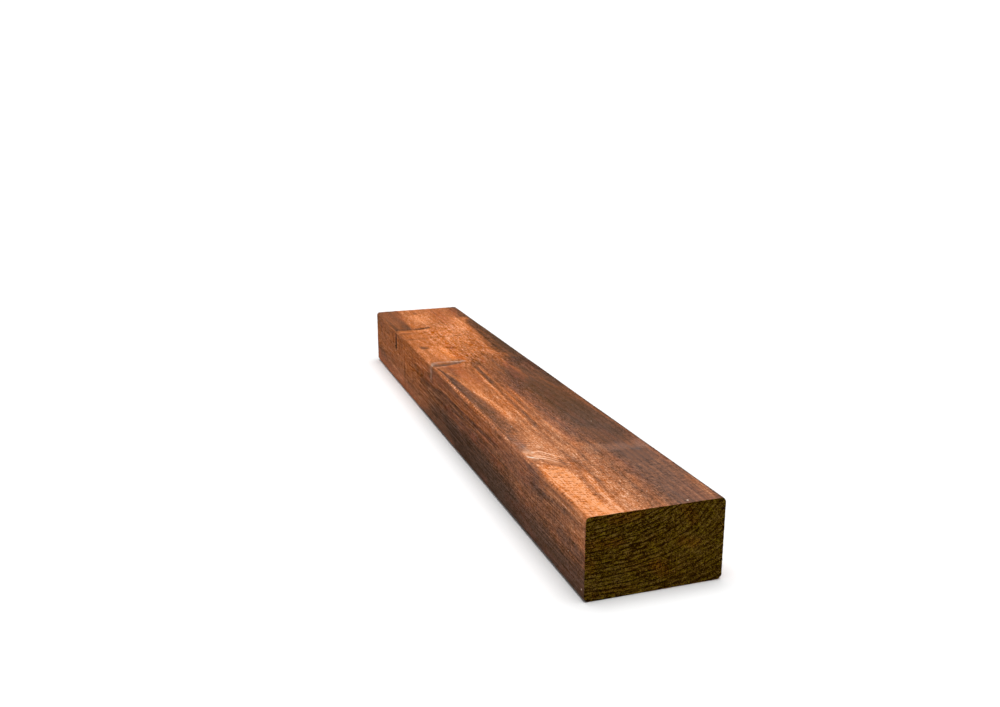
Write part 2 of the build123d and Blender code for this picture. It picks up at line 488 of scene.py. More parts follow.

# Lines across the timber where the fibres are rubbed pale, and a painted highlight at the tip of the near
# knot's fan
PALE_LINES = [
    # The band rubbed at the middle knot, over the edge and down the front
    (0.27, 3.4, [(-1, 187.2), (3, 184.4), (6, 182.4), (15.6, 182.6), (19, 184.2), (25.4, 184.2),
                 (29, 182.4)]),
    (0.10, 2.0, [(14, 182.6), (19, 184.2), (25.4, 184.2), (29, 182.4)]),
    (0.24, 2.2, [(0.4, 195.6), (6.2, 195.6), (12, 194.6)]),
    (0.24, 3.0, [(-13, 188.4), (-5.4, 187.6), (3, 187)]),
    # The bright tip of the near knot's fan, a painted highlight where it meets the front edge
    (0.98, 1.8, [(0.8, 382.8), (2.2, 384), (2.8, 385), (3.8, 385.8), (5, 386.2), (6.2, 386.5)]),
    (0.22, 2.4, [(6.6, 381.4), (8.6, 381), (11, 381.8), (13, 384.2), (15, 387)]),
    (0.30, 1.7, [(5.4, 384.2), (9.9, 385.8), (12.5, 388.3), (14.4, 390.9)]),
    (0.38, 1.8, [(3.4, 386.6), (6.9, 387.7), (10, 389.2), (12, 392.3), (13.7, 395.3), (15.4, 398)]),
    (0.30, 2.2, [(6.4, 379), (8.4, 378.2), (10.9, 378), (12.7, 380.1), (14.3, 382.7), (15.9, 385.3),
                 (17.8, 388)]),
]

# The fan of rubbed fibres at the near knot
FAN_MARKS = [
    (356, 7, 372, 12, 11, 7, 0.4, 0.42),
    (388, 12, 398, 18, 8, 6, 0.3, 0.55),
    (398, 27, 424, 31, 8, 4, 0.4, 0.30),
]

# Strands that the fan's others lie between: (count from the far side, [(around, along), ...])
FAN_GUIDES = [
    (0, [(0, 346), (26, 355)]),
    (7, [(0, 368), (7, 370), (17, 373.5), (26, 377)]),
    (10, [(0, 381.8), (3.4, 381), (6, 378.4), (9, 376.9), (11, 378), (13, 381.4), (16.6, 385.8),
          (18.8, 389), (26, 397)]),
    (13, [(0, 384.4), (4, 387), (8.6, 388.8), (11.4, 391), (13.5, 394.6), (16, 399), (20, 404), (26, 409)]),
    (15, [(0, 386.4), (4, 390.6), (8.6, 395), (13, 401), (16, 405), (26, 417)]),
    (20, [(0, 402), (13, 417), (26, 433)]),
]

# Where long thin lines show in the grain
LINE_MARKS = [
    (170, -18, 475, -18, 40, 30, 0.5, 0.75),
    (60, -18, 175, -18, 60, 30, 0.5, 0.40),
    (400, 68, 475, 68, 40, 14, 0.4, 0.90),
    (180, 34, 360, 32, 40, 14, 0.4, 0.30),
]

# Where the wood is more even than usual
CALM_MARKS = [
    (215, 64, 480, 62, 40, 26, 0.5, 0.60),
    (418, 8, 475, 8, 20, 12, 0.5, 0.70),
    (240, 5, 320, 6, 20, 7, 0.5, 0.60),
    (192, 16, 360, 24, 20, 12, 0.4, 0.35),
    (20, 8, 176, 30, 40, 24, 0.4, 0.15),
    (0, 8, 70, 8, 20, 10, 0.5, 0.40),
    (190, -26, 475, -26, 30, 30, 0.5, 0.55),
]

# How much finer texture there is, against the usual
TEXTURE_MARKS = [
    (235, 58, 385, 60, 34, 17, 0.3, -0.58),
    (405, 62, 480, 60, 20, 16, 0.3, -0.42),
    (190, 14, 250, 16, 14, 10, 0.3, -0.20),
    (378, 0, 480, 0, 12, 5, 0.3, -0.30),
    (378, 8, 396, 14, 10, 8, 0.3, -0.40),
    (414, 9, 480, 9, 14, 9, 0.3, -0.20),
    (-10, 8, 60, 8, 20, 9, 0.4, -0.35),
    (140, 70, 200, 70, 14, 8, 0.4, -0.40),
    (220, -38, 480, -38, 30, 12, 0.3, -0.35),
    (84, 38, 176, 38, 40, 30, 0.3, 0.60),
    (30, -18, 176, -18, 40, 20, 0.3, 0.15),
    (398, 32, 475, 32, 24, 12, 0.3, 0.22),
]

# Where the colour is greyer than usual, or warmer below 0: a tint of the stain, and towards the near cut
# and across the dark patch also a painted sheen
TINT_AND_SHEEN_MARKS = [
    (-10, 38, 130, 38, 90, 70, 0.3, -0.07),
    (-10, 38, 45, 38, 20, 70, 0.5, 0.045),
    (-10, -20, 130, -12, 90, 18, 0.3, -0.07),
    (25, -20, 92, -20, 16, 24, 0.5, 0.05),
    (375, 34, 480, 34, 90, 60, 0.4, 0.13),
    (412, 8, 480, 8, 18, 11, 0.5, -0.20),
    (405, 22.4, 470, 19, 16, 3.6, 0.4, -0.12),
    (370, 8, 378, 5, 6, 6, 0.3, 0.06),
    (400, 62, 480, 62, 24, 18, 0.4, 0.09),
    (384, 74, 385, 40, 9, 6, 0.4, 0.14),
    (92, 34, 172, 32, 26, 20, 0.3, -0.05),
    (190, 22, 340, 24, 26, 14, 0.3, -0.03),
    (122, 24, 172, 24, 16, 9, 0.3, -0.06),
    (275, 58, 370, 58, 34, 18, 0.4, -0.08),
    (262, 41, 345, 40, 30, 8, 0.3, 0.04),
    (400, -10, 480, -10, 80, 24, 0.3, 0.05),
    (10, -38, 140, -40, 50, 10, 0.3, 0.08),
]

# The saw cuts, with strokes in their width and height: (from across, from up, to across, to up, ...)
END_TONE_MARKS = [
    (-34, 40, -10, 42, 8, 4, 0.3, 0.05),
    (-36, 8, -15, 8, 10, 8, 0.3, 0.03),
    (3, 22, 20, 20, 14, 8, 0.3, 0.08),
    (-5, 32, 5, 34, 12, 5, 0.3, -0.08),
    (28, 30, 36, 26, 8, 10, 0.3, 0.03),
    (8, 3, 30, 6, 10, 4, 0.3, -0.06),
    # The smooth band that curves up beside the back corner, and the dark line under it
    (6, 27.5, 15, 31, 3, 1.8, 0.3, 0.12),
    (15, 31, 21, 35.5, 2.5, 1.8, 0.3, 0.14),
    (21, 35.5, 27, 41, 2.5, 2.0, 0.3, 0.12),
    (-12, 25.0, 4, 28.5, 5, 1.4, 0.3, -0.14),
    (4, 28.5, 12, 32.5, 3, 1.3, 0.3, -0.12),
]

# Where the saw cuts are reddish, in the same form
END_RED_MARKS = [
    (-20, 40, -12, 42, 8, 4, 0.3, 0.7),
    (-34, 29, -22, 29, 8, 4, 0.3, 0.7),
    (-37, 21, -34, 18, 4, 6, 0.3, 0.7),
    (15, 42, 20, 35, 5, 5, 0.3, 0.6),
    (15, 24, 21, 22, 6, 4, 0.3, 0.7),
    (1, 13, 5, 9, 6, 5, 0.3, 0.8),
    (-30, 3, -15, 4, 10, 3, 0.3, 0.4),
]

# White specks: (along, around, radius)
SPECKS = [(464, 55.2, 0.55), (464, -38.5, 0.46), (340.4, 59.3, 0.30), (335, 10.4, 0.34),
          (348.5, 28.2, 0.24), (447.6, 41.6, 0.30), (447, -26.2, 0.28), (441.2, 31.5, 0.34),
          (401, 26.6, 0.26), (413, 29.6, 0.24), (457, 31.8, 0.26), (440, -16.1, 0.24)]

# Knots that the grain runs round: (along, around, reach along, reach around, push)
KNOTS = [(72, 25, 18, 12, 2.6), (73, -9, 16, 9, 2.2), (187, 13, 18, 13, 3.0), (385, 5, 30, 20, 6.0),
         (184, 92, 20, 12, 3.5), (303, 150, 26, 16, 4.5), (94, 176, 20, 12, 3.2)]
# How sharply the grain turns past a knot's middle
KNOT_TURN = 2

# Where short dark dashes, fine ripples, bright ticks of painted highlight on the front edge and a woven
# look show
DASH_MARKS = [
    (414, 8, 475, 8, 14, 10, 0.7, 1.0),
    (398, 6, 412, 8, 10, 8, 0.5, 0.7),
    (425, 27, 475, 27, 20, 12, 0.4, 0.35),
]
RIPPLE_MARKS = [
    (100, 36, 165, 34, 30, 18, 0.4, 1.0),
    (20, 34, 60, 34, 20, 12, 0.4, 0.5),
]
TICK_MARKS = [
    (240, 0.6, 276, 0.6, 16, 1.9, 0.4, 1.1),
    (205, 0.5, 345, 0.5, 20, 1.7, 0.4, 0.7),
    (150, 0.4, 190, 0.4, 20, 1.4, 0.4, 0.6),
]
WEAVE_MARKS = [
    (425, 40, 480, 40, 110, 60, 0.3, 1.0),
    (410, 62, 480, 60, 24, 16, 0.3, 0.5),
    (390, -22, 480, -22, 130, 30, 0.3, 0.8),
    (-20, 20, 480, 20, 60, 70, 0.9, 0.25),
    (400, 100, 480, 140, 130, 60, 0.3, 0.7),
]

# Where broad waves of the planer show, how strong and how far apart they are, and their slant
PLANER_MARKS = [
    (70, 34, 150, 34, 25, 34, 0.3, 0.5),
    (75, -16, 150, -16, 25, 18, 0.3, 0.9),
]
PLANER_CONTRAST = 0.04
PLANER_PITCH = 9.5
PLANER_SLANT = 0.12

# Hollows in the long faces, whose amounts are depths
HOLLOWS = [
    # The drying slit at the far knot, and the groove that it runs out in
    (75, -4, 74.4, -15, 2.6, 2.2, 0.3, 1.1),
    (75, 20, 72.4, 29, 2.6, 3, 0.2, 0.35),
    (75.4, 16, 73, 1, 2.6, 2, 0.2, 0.12),
    # The bruise at the middle knot, and the small pit before it
    (189, 20, 190, -8, 3.4, 3, 0.3, 0.30),
    (187.5, 12.5, 187.5, 12.5, 6, 5, 0.3, 0.20),
    (138, 6.6, 138, 10.4, 4, 2.4, 0.3, 0.15),
    # Knots of the hidden faces
    (184, 92, 184, 92, 6, 5, 0.3, 0.35),
    (303, 150, 303, 150, 7, 6, 0.3, 0.35),
    (94, 176, 94, 176, 6, 5, 0.3, 0.35),
]

# The low ridges of the near knot's fan: where they are, their depth, pitch and slant
FAN_RIDGES = [(377, 3, 391, 18, 9, 6, 0.3, 1.0)]
FAN_DEPTH = 0.10
FAN_PITCH = 4.2
FAN_SLANT = 0.75

# The worn top front edge: where it is, how deep and in what cells
WORN_EDGE = [(195, 0.5, 335, 0.5, 20, 2.5, 0.4, 1.0)]
WORN_EDGE_DEPTH = 0.12
WORN_EDGE_CELLS = (2.4, 6, 6)
WORN_EDGE_SEED = 53


# Values on the timber's points

# Keeps a stroke with no length from dividing by zero
TINY = 1e-9


def smooth_noise(points, cells, seed):
    """Smooth random values from -1 to 1 at the points, from a seeded lattice of cells."""
    steps = points / np.array(cells, dtype=float)
    steps = steps - np.floor(steps.min(axis=0))
    whole = np.floor(steps).astype(int)
    part = steps - whole
    part = part * part * (3 - 2 * part)
    lattice = np.random.RandomState(seed).uniform(-1, 1, whole.max(axis=0) + 2)
    value = np.zeros(len(points))
    for corner in itertools.product((0, 1), repeat=3):
        weight = np.prod(np.where(np.array(corner) == 1, part, 1 - part), axis=1)
        value += weight * lattice[tuple((whole + np.array(corner)).T)]
    return value


def layered(points, layers):
    """The sum of smooth noises, each given as (amount, cell sizes, seed)."""
    return sum(amount * smooth_noise(points, cells, seed) for amount, cells, seed in layers)


def smoothstep(low, high, value):
    """0 below low, 1 above high, and a smooth rise between them."""
    share = np.clip((value - low) / (high - low), 0, 1)
    return share * share * (3 - 2 * share)


def painted(along, around, marks):
    """The summed strokes of a list of marks."""
    total = np.zeros(len(along))
    for mark in marks:
        from_along, from_around, to_along, to_around, reach_along, reach_around, core, amount = mark
        run = np.array([(to_along - from_along) / reach_along, (to_around - from_around) / reach_around])
        away_along = (along - from_along) / reach_along
        away_around = (around - from_around) / reach_around
        length_squared = max(run @ run, TINY)
        share = np.clip((away_along * run[0] + away_around * run[1]) / length_squared, 0, 1)
        away = np.hypot(away_along - share * run[0], away_around - share * run[1])
        total += amount * (1 - smoothstep(core, 1.0, away))
    return total


def traced(run, offset, lines, fade):
    """The summed thin lines of a list. Each fades in and out over the given distance at its ends."""
    total = np.zeros(len(run))
    for amount, half_width, stations in lines:
        places, middle = np.array(stations, dtype=float).T
        away = np.abs(offset - np.interp(run, places, middle)) / half_width
        share = 1 - smoothstep(LINE_CORE, 1.0, away)
        share *= smoothstep(0, fade, run - places[0])
        share *= smoothstep(0, fade, places[-1] - run)
        total += amount * share
    return total


def traced_along(along, around, lines):
    """Thin lines that run along the timber."""
    return traced(along, around, lines, LINE_FADE)


def traced_across(along, around, lines):
    """Thin lines that run across the timber."""
    return traced(around, along, lines, CROSS_FADE)


def banded(along, around, bands):
    """The summed bands of a list."""
    total = np.zeros(len(along))
    for amount, stations in bands:
        places, from_around, to_around, softness = np.array(stations, dtype=float).T
        low = np.interp(along, places, from_around)
        high = np.interp(along, places, to_around)
        soft = np.interp(along, places, softness)
        share = smoothstep(-soft, soft, around - low) * smoothstep(-soft, soft, high - around)
        share *= smoothstep(0, BAND_FADE, along - places[0])
        share *= smoothstep(0, BAND_FADE, places[-1] - along)
        total += amount * share
    return total


def wrapped(paint, along, around, girth, marks):
    """Marks painted round the bottom front edge too, where the places round the section start again."""
    return paint(along, around, marks) + paint(along, around - girth, marks)


# Where the rings swell towards the near saw cut's upper back corner
RING_SWELL = (233.5, 30, 46)
RING_SWELL_REACH = (90, 14, 14)
RING_SWELL_HEIGHT = 4.0
# How the rings close up towards the front face and open towards the back
RING_SKEW = 0.0065
# How the rings wander from true circles: (millimetres, cell sizes, seed)
RING_WANDER = [(0.8, (150, 26, 26), 11), (0.35, (50, 7, 7), 12)]
# How far the pith drifts across and up for each millimetre along
PITH_DRIFT_ACROSS = 0.02
PITH_DRIFT_UP = -0.015
# Where late wood starts in a ring, where it is whole and where it starts to end, as shares of the ring
LATE_STARTS = 0.35
LATE_WHOLE = 0.85
LATE_ENDS = 0.93


def ring_count(points, sizes):
    """How many growth rings lie between the pith and each point, in whole and part rings."""
    pith_y = -sizes.pith_across / MM + PITH_DRIFT_ACROSS * points[:, 0]
    pith_z = sizes.pith_height / MM + PITH_DRIFT_UP * points[:, 0]
    radius = np.hypot(points[:, 1] - pith_y, points[:, 2] - pith_z)
    radius += RING_SKEW * points[:, 1] * (points[:, 2] - sizes.thickness / MM / 2)
    radius += layered(points, RING_WANDER)
    away = (points - np.array(RING_SWELL)) / np.array(RING_SWELL_REACH)
    radius += RING_SWELL_HEIGHT * np.exp(-(away ** 2).sum(axis=1))
    return radius / (sizes.ring_spacing / MM)


def late_wood(rings):
    """0 in a ring's soft early wood and 1 in its hard late wood."""
    part = rings - np.floor(rings)
    return smoothstep(LATE_STARTS, LATE_WHOLE, part) * (1 - smoothstep(LATE_ENDS, 1.0, part))


# The timber's mesh

# Steps from a flat face to the middle of an eased edge, and the size of the steps over the flat faces
ARC_STEPS = 3
STEP_ACROSS = 0.78
# How far into the section the easing of an edge moves the grid, in edge radii
EASING_FADE = 3
# The rows lie closer together at the near knot's fan: shares of the rows, and where along they fall
ROW_SHARES = (0.0, 0.729, 0.870, 1.0)
ROW_PLACES = (0, 368, 402)


class Section:
    """The timber's rounded section as a grid, in millimetres, and the loop of points round it."""

    def __init__(self, sizes):
        self.width = sizes.width / MM
        self.thickness = sizes.thickness / MM
        self.girth = 2 * (self.width + self.thickness)
        self.radius = sizes.edge_radius / MM
        self.across = self.positions(self.width) - self.width / 2
        self.up = self.positions(self.thickness)
        self.grid = self.rounded_grid()
        self.loop = self.loop_indices()
        self.around = self.loop_places()

    def positions(self, size):
        """Grid places from 0 to size, with a few close together at each eased edge."""
        edge = np.linspace(0, self.radius, ARC_STEPS + 1)
        steps = round((size - 2 * self.radius) / STEP_ACROSS)
        flat = np.linspace(self.radius, size - self.radius, steps + 1)
        return np.concatenate([edge, flat[1:-1], size - edge[::-1]])

    def easing(self, share):
        """How far a point of the square edge moves to lie on the arc: along the edge, and inwards."""
        turn = math.pi / 4 * (1 - np.clip(share, 0, 1))
        along_edge = self.radius * (1 - np.sin(turn)) - self.radius * np.clip(share, 0, 1)
        inwards = self.radius * (1 - np.cos(turn))
        return along_edge, inwards

    def rounded_grid(self):
        """(rows up, columns across, 2) places whose outer points lie on the rounded outline."""
        grid = np.stack(np.meshgrid(self.across, self.up), axis=-1)
        fade = EASING_FADE * self.radius
        corner = self.radius * (1 - math.sqrt(0.5))
        moved = np.zeros_like(grid)
        for side_y, side_z in itertools.product((-1, 1), repeat=2):
            off_y = self.width / 2 + side_y * -grid[..., 0]
            off_z = self.thickness / 2 - side_z * (grid[..., 1] - self.thickness / 2)
            weight_y = np.clip(1 - off_y / fade, 0, 1) ** 2
            weight_z = np.clip(1 - off_z / fade, 0, 1) ** 2
            on_flat_along, on_flat_in = self.easing(off_y / self.radius)
            on_side_along, on_side_in = self.easing(off_z / self.radius)
            shift_y = on_flat_along * weight_z + on_side_in * weight_y - corner * weight_y * weight_z
            shift_z = on_flat_in * weight_z + on_side_along * weight_y - corner * weight_y * weight_z
            moved[..., 0] += -side_y * shift_y
            moved[..., 1] += -side_z * shift_z
        return grid + moved

    def loop_indices(self):
        """(row, column) of the outline's points: up the front, over the top, down and back again."""
        rows = len(self.up) - 1
        columns = len(self.across) - 1
        front = [(row, 0) for row in range(rows)]
        top = [(rows, column) for column in range(columns)]
        back = [(row, columns) for row in range(rows, 0, -1)]
        bottom = [(0, column) for column in range(columns, 0, -1)]
        return np.array(front + top + back + bottom)

    def loop_places(self):
        """Each outline point's distance around the section from the top front edge."""
        rows, columns = self.loop.T
        side = len(self.up) - 1
        wide = len(self.across) - 1
        place = np.arange(len(self.loop))
        front = self.up[rows] - self.thickness
        top = self.across[columns] + self.width / 2
        back = self.width + self.thickness - self.up[rows]
        bottom = 1.5 * self.width + self.thickness - self.across[columns]
        faces = [place < side, place < side + wide, place < 2 * side + wide]
        return np.select(faces, [front, top, back], bottom)


def timber_points(sizes, section):
    """The mesh's points before its relief, in millimetres, with their outward directions and places."""
    length = sizes.length / MM
    outline = section.grid[section.loop[:, 0], section.loop[:, 1]]
    ahead = np.roll(outline, -1, axis=0)
    behind = np.roll(outline, 1, axis=0)
    run = ahead - behind
    normal = np.column_stack([-run[:, 1], run[:, 0]])
    normal /= np.linalg.norm(normal, axis=1)[:, None]
    along = np.interp(np.linspace(0, 1, sizes.steps_along + 1), ROW_SHARES, (*ROW_PLACES, length))
    rows = len(along)
    count = len(outline)
    points = np.empty((rows, count, 3))
    points[..., 0] = along[:, None] - length / 2
    points[..., 1:] = outline[None]
    outward = np.zeros((rows, count, 3))
    outward[..., 1:] = normal[None]
    places = np.empty((rows, count, 2))
    places[..., 0] = along[:, None]
    places[..., 1] = section.around[None]
    return points.reshape(-1, 3), outward.reshape(-1, 3), places.reshape(-1, 2)


def cap_points(section, x):
    """The inner points of a saw cut at x, row by row."""
    inner = section.grid[1:-1, 1:-1].reshape(-1, 2)
    return np.column_stack([np.full(len(inner), x), inner])


def long_faces(rows, count):
    """Quads of the four long faces, facing outwards."""
    row, place = np.meshgrid(np.arange(rows - 1), np.arange(count), indexing="ij")
    row = row.ravel()
    place = place.ravel()
    after = (place + 1) % count
    return np.stack([row * count + place, (row + 1) * count + place, (row + 1) * count + after,
                     row * count + after], axis=1)


def cap_faces(section, ring_start, inner_start, flip):
    """Quads of one saw cut, between the outline's points and the inner ones."""
    rows = len(section.up)
    columns = len(section.across)
    index = np.empty((rows, columns), dtype=int)
    inner = np.arange((rows - 2) * (columns - 2)).reshape(rows - 2, columns - 2)
    index[1:-1, 1:-1] = inner_start + inner
    index[section.loop[:, 0], section.loop[:, 1]] = ring_start + np.arange(len(section.loop))
    corners = [index[:-1, :-1], index[:-1, 1:], index[1:, 1:], index[1:, :-1]]
    quads = np.stack(corners, axis=-1).reshape(-1, 4)
    return quads[:, ::-1] if flip else quads


# How the grain wanders round the section: (millimetres, cell sizes, seed)
GRAIN_WANDER = [(1.1, (95, 18, 1), 21), (0.35, (34, 7, 1), 22)]


def grain_places(places, section):
    """Places on the long faces as points that the fibres run along, bent round the knots."""
    along, around = places.T
    bent = around.copy()
    for knot_along, knot_around, reach_along, reach_around, push in KNOTS:
        away = (around - knot_around) / reach_around
        near = np.exp(-((along - knot_along) / reach_along) ** 2 - away ** 2)
        bent -= push * np.tanh(KNOT_TURN * away) * near
    drift = np.column_stack([along, around, np.zeros(len(along))])
    bent += layered(drift, GRAIN_WANDER)
    radius = section.girth / (2 * math.pi)
    angle = bent / radius
    return np.column_stack([along, radius * np.cos(angle), radius * np.sin(angle)])


def fan_strand(along, around):
    """Which strand of the near knot's fan each point lies on, in whole and part strands."""
    counts = [count for count, _ in FAN_GUIDES]
    guides = [np.interp(around, *np.array(stations).T) for _, stations in FAN_GUIDES]
    strand = np.where(along < guides[0], counts[0], counts[-1]).astype(float)
    for index in range(len(counts) - 1):
        gap = guides[index + 1] - guides[index]
        share = (along - guides[index]) / gap
        within = (share >= 0) & (share < 1)
        strand[within] = counts[index] + (counts[index + 1] - counts[index]) * share[within]
    return strand


# How far marks stray from their given places: worn ones far, and exact ones little
SWAY_CELLS = (46, 9, 9)
SWAY_SEED = 32
WORN_SWAY = 0.5
EXACT_SWAY = 0.2
PLANER_SWAY = 3
STRAY_ALONG = [(5, (30, 5, 5), 31)]
STRAY_AROUND = [(0.3, (20, 3, 3), 33)]
# Small changes of tone in the plain wood, and the red patches that lie anywhere in it
UNEVEN_TONE = [(0.030, (130, 6, 6), 41), (0.022, (45, 2.4, 2.4), 42), (0.028, (15, 5, 5), 43),
               (0.026, (7, 2.5, 2.5), 45)]
RED_PATCHES = [(0.35, (24, 6, 6), 44)]
# How strongly thin lines show where no mark asks for them
PLAIN_LINES = 0.15


def long_values(places, grain, girth):
    """The stain, bruises and marks at each point of the long faces."""
    along, around = places.T
    sway = smooth_noise(grain, SWAY_CELLS, SWAY_SEED)
    worn_around = around + WORN_SWAY * sway + layered(grain, STRAY_AROUND)
    worn = along + layered(grain, STRAY_ALONG), worn_around, girth
    exact = along, around + EXACT_SWAY * sway, girth
    values = {
        "grey": wrapped(painted, *worn, GREY_MARKS),
        "red": wrapped(painted, *worn, RED_MARKS),
        "tint_and_sheen": wrapped(painted, *worn, TINT_AND_SHEEN_MARKS),
        "texture": 1 + wrapped(painted, *worn, TEXTURE_MARKS),
        "pale": wrapped(traced_across, *exact, PALE_LINES),
        "fan": wrapped(painted, *exact, FAN_MARKS),
        "dashes": wrapped(painted, *exact, DASH_MARKS),
        "ticks": wrapped(painted, *exact, TICK_MARKS),
        "weave": wrapped(painted, *exact, WEAVE_MARKS),
        "ripples": wrapped(painted, *worn, RIPPLE_MARKS),
        "strand": fan_strand(along, around),
        "lines": PLAIN_LINES + wrapped(painted, *worn, LINE_MARKS),
    }
    tone = PLAIN_TONE + wrapped(banded, *worn, TONE_BANDS) + wrapped(painted, *worn, STAINS)
    tone += wrapped(traced_along, *exact, GRAIN_LINES) + wrapped(traced_across, *exact, CROSS_LINES)
    tone += wrapped(painted, *exact, SPOTS)
    uneven = layered(grain, UNEVEN_TONE)
    uneven *= values["texture"] * (1 - wrapped(painted, *worn, CALM_MARKS))
    phase = (along + PLANER_SWAY * sway + PLANER_SLANT * around) / PLANER_PITCH
    planed = painted(along, around, PLANER_MARKS) * np.sin(2 * math.pi * phase)
    values["tone"] = tone + uneven + PLANER_CONTRAST * planed
    values["red"] += np.clip(layered(grain, RED_PATCHES), 0, None)
    return values


# Fibres that stand a little above and below the face: their middle depth, and (depth, cell sizes, seed)
FIBRE_DEPTH = 0.05
FIBRE_RELIEF = [(0.03, (30, 2, 2), 51), (0.02, (9, 1.6, 1.6), 52)]


def long_depth(sizes, places, grain, rings):
    """How deep the relief of the long faces is at each point, in millimetres."""
    along, around = places.T
    depth = sizes.ring_relief / MM * (1 - late_wood(rings))
    depth += FIBRE_DEPTH + layered(grain, FIBRE_RELIEF)
    depth += painted(along, around, HOLLOWS)
    ridges = 1 + np.sin(2 * math.pi * (along - FAN_SLANT * around) / FAN_PITCH)
    depth += FAN_DEPTH * painted(along, around, FAN_RIDGES) * ridges
    nicks = 1 + smooth_noise(np.column_stack([along, around, around]), WORN_EDGE_CELLS, WORN_EDGE_SEED)
    depth += WORN_EDGE_DEPTH * painted(along, around, WORN_EDGE) * nicks
    return depth


# The torn fibres of a saw cut: the share that the early wood has, the share that is the same all over,
# the shares and cells of the rest, and how far from the edge they reach their whole depth
TORN_EARLY_WOOD = 0.40
TORN_EVERYWHERE = 0.30
TORN_FIBRES = [(0.18, (50, 2.0, 1.3), 61), (0.12, (50, 5, 3.5), 62)]
TORN_EDGE_FADE = 1.2


def end_depth(sizes, points, rings):
    """How deep the torn fibres of a saw cut are at each point, in millimetres."""
    off_side = sizes.width / MM / 2 - np.abs(points[:, 1])
    off_edge = np.minimum(off_side, np.minimum(points[:, 2], sizes.thickness / MM - points[:, 2]))
    relief = sizes.end_relief / MM * smoothstep(0, TORN_EDGE_FADE, off_edge)
    torn = TORN_EARLY_WOOD * (1 - late_wood(rings)) + TORN_EVERYWHERE + layered(points, TORN_FIBRES)
    return relief * torn


def ring_place(sizes, points):
    """The distance along the growth rings, in millimetres."""
    angle = np.arctan2(points[:, 1] + sizes.pith_across / MM, sizes.pith_height / MM - points[:, 2])
    return angle * sizes.pith_height / MM


# Small changes of tone and patches of red in the saw cuts: (amount, cell sizes, seed)
END_TONE = [(0.07, (50, 9, 5), 71), (0.05, (50, 4, 2.5), 72)]
END_RED_PATCHES = [(0.4, (50, 12, 7), 73)]
# How clearly the rings show at the front of a saw cut, how much less at its back, and where that changes
END_RINGS_FRONT = 1.4
END_RINGS_LOSS = 0.72
END_RINGS_FADE = (-12, 24)


def end_values(points):
    """The shade and the red tint of the saw cuts at each point, and how clearly the rings show there."""
    across = points[:, 1]
    up = points[:, 2]
    tone = painted(across, up, END_TONE_MARKS) + layered(points, END_TONE)
    red = painted(across, up, END_RED_MARKS) + np.clip(layered(points, END_RED_PATCHES), 0, None)
    clear = END_RINGS_FRONT - END_RINGS_LOSS * smoothstep(*END_RINGS_FADE, across)
    return {"end_tone": tone, "end_red": red, "end_rings": clear}


# The UV map, in its own size: its margin, the strip's width and height, and the saw cuts' places
MAP_MARGIN = 0.01
STRIP_WIDTH = 0.98
STRIP_HEIGHT = 0.69
CUTS_FROM = 0.72
CUTS_HEIGHT = 0.27
FAR_CUT_FROM = 0.51


def bake_layout(mesh, section, rows, long_count):
    """A UV map with the long faces as one strip and the saw cuts above it."""
    layer = mesh.uv_layers.new(name="OFBake")
    count = len(section.loop)
    edge = np.append(section.around, section.around[0] + section.girth)
    unrolled = np.where(edge < edge[0], edge + section.girth, edge) - edge[0]
    row, place = np.meshgrid(np.arange(rows - 1), np.arange(count), indexing="ij")
    row = row.ravel()
    place = place.ravel()
    share_along = np.column_stack([row, row + 1, row + 1, row]) / (rows - 1)
    share_around = unrolled[np.column_stack([place, place, place + 1, place + 1])] / section.girth
    uv = np.empty((len(mesh.loops), 2))
    uv[:4 * long_count, 0] = share_along.ravel() * STRIP_WIDTH + MAP_MARGIN
    uv[:4 * long_count, 1] = share_around.ravel() * STRIP_HEIGHT + MAP_MARGIN
    corner_points = np.empty(len(mesh.loops), dtype=int)
    mesh.loops.foreach_get("vertex_index", corner_points)
    places = np.empty(3 * len(mesh.vertices))
    mesh.vertices.foreach_get("co", places)
    places = places.reshape(-1, 3)[corner_points[4 * long_count:]]
    far = places[:, 0] < 0
    scale = CUTS_HEIGHT / (section.thickness * MM)
    across = places[:, 1] + section.width * MM / 2
    uv[4 * long_count:, 0] = across * scale + np.where(far, FAR_CUT_FROM, MAP_MARGIN)
    uv[4 * long_count:, 1] = places[:, 2] * scale + CUTS_FROM
    layer.data.foreach_set("uv", uv.ravel())


# Materials

# The stained wood and the floor have no specular sheen; the wood's slight sheen is painted into its colour
NO_SHEEN = 0.0


